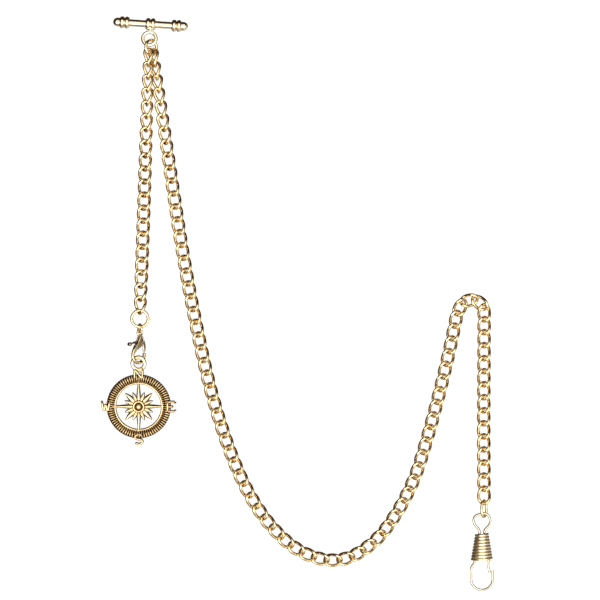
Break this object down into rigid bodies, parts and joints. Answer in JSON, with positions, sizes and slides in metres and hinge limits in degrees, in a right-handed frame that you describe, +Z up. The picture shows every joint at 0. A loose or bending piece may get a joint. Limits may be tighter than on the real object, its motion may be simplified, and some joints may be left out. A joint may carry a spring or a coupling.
{
  "type": "pocket watch chain",
  "caption": "Waistcoat watch chain: T-bar, long curb chain with a sprung watch clip, short curb chain with clasp and compass fob.",
  "frame": {"origin": "bottom centre of the bounding box of the chain laid out flat, on the table it lies on", "axes": "+Z up out of the table, +Y towards the T-bar along the length of the layout, +X towards the watch clip"},
  "size_m": [0.1304, 0.1908, 0.0076],
  "materials": {
    "chain_gold": "polished",
    "t_bar_gold": "polished",
    "clip_gold": "polished",
    "coil_gold": "polished",
    "clasp_gold": "polished",
    "clasp_lever": "polished",
    "spring_steel": "drawn",
    "fob_bronze": "antiqued"
  },
  "bodies": {
    "t_bar": {"t_bar_shaft": "t_bar_gold", "t_bar_left_finial": "t_bar_gold", "t_bar_right_finial": "t_bar_gold", "t_bar_collar": "t_bar_gold", "t_bar_eye": "t_bar_gold"},
    "top_ring": {"top_ring": "chain_gold"},
    "fob_ring": {"fob_ring": "chain_gold"},
    "clasp_ring": {"clasp_ring": "chain_gold"},
    "clasp": {"clasp_body": "clasp_gold", "clasp_spring": "spring_steel", "clasp_pin": "clasp_gold"},
    "clasp_lever": {"clasp_lever": "clasp_lever"},
    "compass_fob": {"compass_fob": "fob_bronze"},
    "clip_end_ring": {"clip_end_ring": "chain_gold"},
    "clip": {"clip_wire": "clip_gold", "clip_coil": "coil_gold"},
    "clip_hook": {"clip_hook": "clip_gold"},
    "long_chain_01": {"long_chain_01": "chain_gold"},
    "long_chain_02": {"long_chain_02": "chain_gold"},
    "long_chain_03": {"long_chain_03": "chain_gold"},
    "long_chain_04": {"long_chain_04": "chain_gold"},
    "long_chain_05": {"long_chain_05": "chain_gold"},
    "long_chain_06": {"long_chain_06": "chain_gold"},
    "long_chain_07": {"long_chain_07": "chain_gold"},
    "long_chain_08": {"long_chain_08": "chain_gold"},
    "long_chain_09": {"long_chain_09": "chain_gold"},
    "long_chain_10": {"long_chain_10": "chain_gold"},
    "long_chain_11": {"long_chain_11": "chain_gold"},
    "long_chain_12": {"long_chain_12": "chain_gold"},
    "long_chain_13": {"long_chain_13": "chain_gold"},
    "long_chain_14": {"long_chain_14": "chain_gold"},
    "long_chain_15": {"long_chain_15": "chain_gold"},
    "long_chain_16": {"long_chain_16": "chain_gold"},
    "long_chain_17": {"long_chain_17": "chain_gold"},
    "long_chain_18": {"long_chain_18": "chain_gold"},
    "long_chain_19": {"long_chain_19": "chain_gold"},
    "long_chain_20": {"long_chain_20": "chain_gold"},
    "long_chain_21": {"long_chain_21": "chain_gold"},
    "long_chain_22": {"long_chain_22": "chain_gold"},
    "long_chain_23": {"long_chain_23": "chain_gold"},
    "long_chain_24": {"long_chain_24": "chain_gold"},
    "long_chain_25": {"long_chain_25": "chain_gold"},
    "long_chain_26": {"long_chain_26": "chain_gold"},
    "long_chain_27": {"long_chain_27": "chain_gold"},
    "long_chain_28": {"long_chain_28": "chain_gold"},
    "fob_chain_01": {"fob_chain_01": "chain_gold"},
    "fob_chain_02": {"fob_chain_02": "chain_gold"},
    "fob_chain_03": {"fob_chain_03": "chain_gold"},
    "fob_chain_04": {"fob_chain_04": "chain_gold"},
    "fob_chain_05": {"fob_chain_05": "chain_gold"},
    "fob_chain_06": {"fob_chain_06": "chain_gold"},
    "fob_chain_07": {"fob_chain_07": "chain_gold"},
    "fob_chain_08": {"fob_chain_08": "chain_gold"},
    "fob_chain_09": {"fob_chain_09": "chain_gold"},
    "fob_chain_10": {"fob_chain_10": "chain_gold"}
  },
  "joints": [
    {"name": "clasp_lever_open", "type": "hinge", "parent": "clasp", "child": "clasp_lever", "pos_m": [-0.05194, -0.0123, 0.00173], "axis": [-0.7071, 0, -0.7071], "range_deg": [0, 33], "stiffness_Nm_per_rad": 0.003, "springref_deg": -20.05},
    {"name": "clip_hook_open", "type": "hinge", "parent": "clip", "child": "clip_hook", "pos_m": [0.05921, -0.08366, 0.00397], "axis": [0, 0, 1], "range_deg": [0, 11], "stiffness_Nm_per_rad": 0.05, "springref_deg": -5.73},
    {"name": "top_ring_swing", "type": "hinge", "parent": "t_bar", "child": "top_ring", "pos_m": [-0.04916, 0.08569, 0.00347], "axis": [0.9978, -0.0663, 0], "range_deg": [-53, 4]},
    {"name": "compass_swing", "type": "hinge", "parent": "clasp", "child": "compass_fob", "pos_m": [-0.05268, -0.01976, 0.00248], "axis": [0.7071, 0, -0.7071], "range_deg": [-25, 0]},
    {"name": "clasp_swing", "type": "hinge", "parent": "clasp_ring", "child": "clasp", "pos_m": [-0.05226, -0.00962, 0.00207], "axis": [0.5, 0, 0.866], "range_deg": [-39, 39]},
    {"name": "clasp_ring_swing", "type": "hinge", "parent": "fob_ring", "child": "clasp_ring", "pos_m": [-0.05226, -0.00782, 0.00209], "axis": [1, 0, 0], "range_deg": [-59, 59]},
    {"name": "fob_ring_swing", "type": "hinge", "parent": "fob_chain_10", "child": "fob_ring", "pos_m": [-0.05218, -0.00282, 0.00209], "axis": [1, 0, 0], "range_deg": [-35, 33]},
    {"name": "end_ring_swing", "type": "hinge", "parent": "long_chain_28", "child": "clip_end_ring", "pos_m": [0.06195, -0.06578, 0.00397], "axis": [1, 0, 0], "range_deg": [-21, 11]},
    {"name": "clip_swing", "type": "hinge", "parent": "clip_end_ring", "child": "clip", "pos_m": [0.06193, -0.06964, 0.00397], "axis": [1, 0, 0], "range_deg": [-59, 7]},
    {"name": "long_chain_swing", "type": "hinge", "parent": "top_ring", "child": "long_chain_01", "pos_m": [-0.04777, 0.08365, 0.00222], "axis": [-0.6691, 0, 0.7431], "range_deg": [0, 37]},
    {"name": "long_chain_bend_02", "type": "hinge", "parent": "long_chain_01", "child": "long_chain_02", "pos_m": [-0.04598, 0.07079, 0.00215], "axis": [-0.6971, -0.1047, 0.7093], "range_deg": [-19, 19]},
    {"name": "long_chain_fold_03", "type": "hinge", "parent": "long_chain_02", "child": "long_chain_03", "pos_m": [-0.04416, 0.05792, 0.00198], "axis": [-0.8669, -0.1161, -0.4847], "range_deg": [-37, 37]},
    {"name": "long_chain_bend_04", "type": "hinge", "parent": "long_chain_03", "child": "long_chain_04", "pos_m": [-0.04231, 0.04507, 0.00175], "axis": [0.2228, 0.0526, -0.9734], "range_deg": [-19, 19]},
    {"name": "long_chain_fold_05", "type": "hinge", "parent": "long_chain_04", "child": "long_chain_05", "pos_m": [-0.04043, 0.03222, 0.0015], "axis": [0.9892, 0.1465, 0], "range_deg": [-37, 37]},
    {"name": "long_chain_bend_06", "type": "hinge", "parent": "long_chain_05", "child": "long_chain_06", "pos_m": [-0.03844, 0.01938, 0.0015], "axis": [0, 0, 1], "range_deg": [-9, 19]},
    {"name": "long_chain_fold_07", "type": "hinge", "parent": "long_chain_06", "child": "long_chain_07", "pos_m": [-0.03621, 0.00658, 0.0015], "axis": [-0.9836, -0.1801, 0], "range_deg": [-37, 37]},
    {"name": "long_chain_bend_08", "type": "hinge", "parent": "long_chain_07", "child": "long_chain_08", "pos_m": [-0.03376, -0.00617, 0.0015], "axis": [0, 0, -1], "range_deg": [-19, 19]},
    {"name": "long_chain_fold_09", "type": "hinge", "parent": "long_chain_08", "child": "long_chain_09", "pos_m": [-0.03107, -0.01888, 0.0015], "axis": [0.9764, 0.216, 0], "range_deg": [-37, 37]},
    {"name": "long_chain_bend_10", "type": "hinge", "parent": "long_chain_09", "child": "long_chain_10", "pos_m": [-0.02798, -0.0315, 0.0015], "axis": [0, 0, 1], "range_deg": [-19, 19]},
    {"name": "long_chain_fold_11", "type": "hinge", "parent": "long_chain_10", "child": "long_chain_11", "pos_m": [-0.02417, -0.04391, 0.0015], "axis": [-0.9472, -0.3206, 0], "range_deg": [-37, 37]},
    {"name": "long_chain_bend_12", "type": "hinge", "parent": "long_chain_11", "child": "long_chain_12", "pos_m": [-0.01953, -0.05604, 0.0015], "axis": [0, 0, -1], "range_deg": [-19, 19]},
    {"name": "long_chain_fold_13", "type": "hinge", "parent": "long_chain_12", "child": "long_chain_13", "pos_m": [-0.01351, -0.06753, 0.0015], "axis": [0.8425, 0.5388, 0], "range_deg": [-37, 37]},
    {"name": "long_chain_bend_14", "type": "hinge", "parent": "long_chain_13", "child": "long_chain_14", "pos_m": [-0.00534, -0.0776, 0.0015], "axis": [0, 0, 1], "range_deg": [-19, 19]},
    {"name": "long_chain_fold_15", "type": "hinge", "parent": "long_chain_14", "child": "long_chain_15", "pos_m": [0.00556, -0.08445, 0.0015], "axis": [-0.3148, -0.9492, 0], "range_deg": [-37, 37]},
    {"name": "long_chain_bend_16", "type": "hinge", "parent": "long_chain_15", "child": "long_chain_16", "pos_m": [0.01827, -0.08429, 0.0015], "axis": [0, 0, -1], "range_deg": [-19, 19]},
    {"name": "long_chain_fold_17", "type": "hinge", "parent": "long_chain_16", "child": "long_chain_17", "pos_m": [0.02849, -0.0764, 0.0015], "axis": [-0.7604, 0.6494, 0], "range_deg": [-37, 37]},
    {"name": "long_chain_bend_18", "type": "hinge", "parent": "long_chain_17", "child": "long_chain_18", "pos_m": [0.03559, -0.06554, 0.0015], "axis": [0, 0, 1], "range_deg": [-19, 19]},
    {"name": "long_chain_fold_19", "type": "hinge", "parent": "long_chain_18", "child": "long_chain_19", "pos_m": [0.04069, -0.05361, 0.0015], "axis": [0.9492, -0.3148, 0], "range_deg": [-37, 37]},
    {"name": "long_chain_bend_20", "type": "hinge", "parent": "long_chain_19", "child": "long_chain_20", "pos_m": [0.04432, -0.04114, 0.0015], "axis": [0, 0, -1], "range_deg": [-19, 19]},
    {"name": "long_chain_fold_21", "type": "hinge", "parent": "long_chain_20", "child": "long_chain_21", "pos_m": [0.04763, -0.02857, 0.0015], "axis": [-0.9703, 0.2419, 0], "range_deg": [-37, 37]},
    {"name": "long_chain_bend_22", "type": "hinge", "parent": "long_chain_21", "child": "long_chain_22", "pos_m": [0.05061, -0.01593, 0.0015], "axis": [0, 0, 1], "range_deg": [-19, 19]},
    {"name": "long_chain_fold_23", "type": "hinge", "parent": "long_chain_22", "child": "long_chain_23", "pos_m": [0.05325, -0.00321, 0.0015], "axis": [0.9412, -0.3379, 0], "range_deg": [-37, 37]},
    {"name": "long_chain_bend_24", "type": "hinge", "parent": "long_chain_23", "child": "long_chain_24", "pos_m": [0.06223, -0.00111, 0.0015], "axis": [0, 0, -1], "range_deg": [-19, 7]},
    {"name": "long_chain_fold_25", "type": "hinge", "parent": "long_chain_24", "child": "long_chain_25", "pos_m": [0.06218, -0.01394, 0.0015], "axis": [1, -0.0044, 0], "range_deg": [-37, 37]},
    {"name": "long_chain_bend_26", "type": "hinge", "parent": "long_chain_25", "child": "long_chain_26", "pos_m": [0.06212, -0.02693, 0.0015], "axis": [0, 0, 1], "range_deg": [-19, 19]},
    {"name": "long_chain_fold_27", "type": "hinge", "parent": "long_chain_26", "child": "long_chain_27", "pos_m": [0.06206, -0.03992, 0.0015], "axis": [-1, 0.0044, 0], "range_deg": [-37, 37]},
    {"name": "long_chain_bend_28", "type": "hinge", "parent": "long_chain_27", "child": "long_chain_28", "pos_m": [0.06201, -0.05285, 0.00274], "axis": [-0.0004, -0.0951, -0.9955], "range_deg": [-19, 19]},
    {"name": "fob_chain_swing", "type": "hinge", "parent": "top_ring", "child": "fob_chain_01", "pos_m": [-0.04916, 0.08366, 0.00395], "axis": [0.6691, 0, -0.7431], "range_deg": [0, 37]},
    {"name": "fob_chain_bend_02", "type": "hinge", "parent": "fob_chain_01", "child": "fob_chain_02", "pos_m": [-0.04946, 0.07501, 0.0036], "axis": [-0.7676, -0.0015, 0.6409], "range_deg": [-19, 19]},
    {"name": "fob_chain_fold_03", "type": "hinge", "parent": "fob_chain_02", "child": "fob_chain_03", "pos_m": [-0.04976, 0.06637, 0.0032], "axis": [-0.7696, 0.0575, -0.636], "range_deg": [-15, 37]},
    {"name": "fob_chain_bend_04", "type": "hinge", "parent": "fob_chain_03", "child": "fob_chain_04", "pos_m": [-0.05006, 0.05772, 0.00277], "axis": [0.4861, 0.0286, -0.8734], "range_deg": [-19, 19]},
    {"name": "fob_chain_fold_05", "type": "hinge", "parent": "fob_chain_04", "child": "fob_chain_05", "pos_m": [-0.05037, 0.04908, 0.0023], "axis": [0.9474, -0.0506, 0.3161], "range_deg": [-37, 37]},
    {"name": "fob_chain_bend_06", "type": "hinge", "parent": "fob_chain_05", "child": "fob_chain_06", "pos_m": [-0.05067, 0.04044, 0.00181], "axis": [-0.1395, -0.0525, 0.9888], "range_deg": [-19, 19]},
    {"name": "fob_chain_fold_07", "type": "hinge", "parent": "fob_chain_06", "child": "fob_chain_07", "pos_m": [-0.05097, 0.03179, 0.0015], "axis": [-0.9994, 0.0349, 0], "range_deg": [-37, 37]},
    {"name": "fob_chain_bend_08", "type": "hinge", "parent": "fob_chain_07", "child": "fob_chain_08", "pos_m": [-0.05127, 0.02314, 0.0015], "axis": [0, 0, -1], "range_deg": [-7, 19]},
    {"name": "fob_chain_fold_09", "type": "hinge", "parent": "fob_chain_08", "child": "fob_chain_09", "pos_m": [-0.05158, 0.01448, 0.00158], "axis": [0.9973, -0.0324, 0.0654], "range_deg": [-37, 37]},
    {"name": "fob_chain_bend_10", "type": "hinge", "parent": "fob_chain_09", "child": "fob_chain_10", "pos_m": [-0.05188, 0.00583, 0.00189], "axis": [-0.3201, 0.0426, 0.9464], "range_deg": [-19, 19]}
  ]
}
